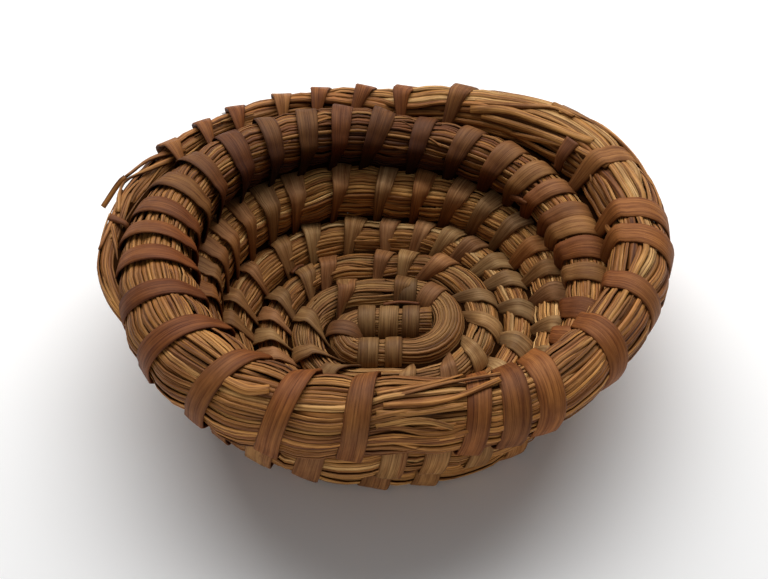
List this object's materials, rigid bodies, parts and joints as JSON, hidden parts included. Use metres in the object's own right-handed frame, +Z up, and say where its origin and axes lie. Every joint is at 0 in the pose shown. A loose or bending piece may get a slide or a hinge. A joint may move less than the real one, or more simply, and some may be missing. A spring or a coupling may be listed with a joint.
{
  "type": "coiled straw basket",
  "caption": "Shallow oval bowl basket of a coiled straw bundle sewn with flat wooden splints, with a thick rolled rim that tapers to a loose end.",
  "frame": {"origin": "middle of the footprint, on the plane of the underside", "axes": "+Z up out of the bowl, +X along the longer diameter, -Y towards the front of the picture"},
  "size_m": [0.1986, 0.173, 0.0602],
  "materials": {
    "straw": "dry golden straw, dull with a faint sheen along the stalks",
    "splint": "aged brown wooden splint, satin, with fine lengthwise grain"
  },
  "bodies": {
    "root": {"straw_coil": "straw", "start_band_1": "splint", "start_band_2": "splint", "binder_strip_01": "splint", "binder_strip_02": "splint", "binder_strip_03": "splint", "binder_strip_04": "splint", "binder_strip_05": "splint", "binder_strip_06": "splint", "binder_strip_07": "splint", "binder_strip_08": "splint", "binder_strip_09": "splint", "binder_strip_10": "splint", "binder_strip_11": "splint"}
  },
  "joints": []
}
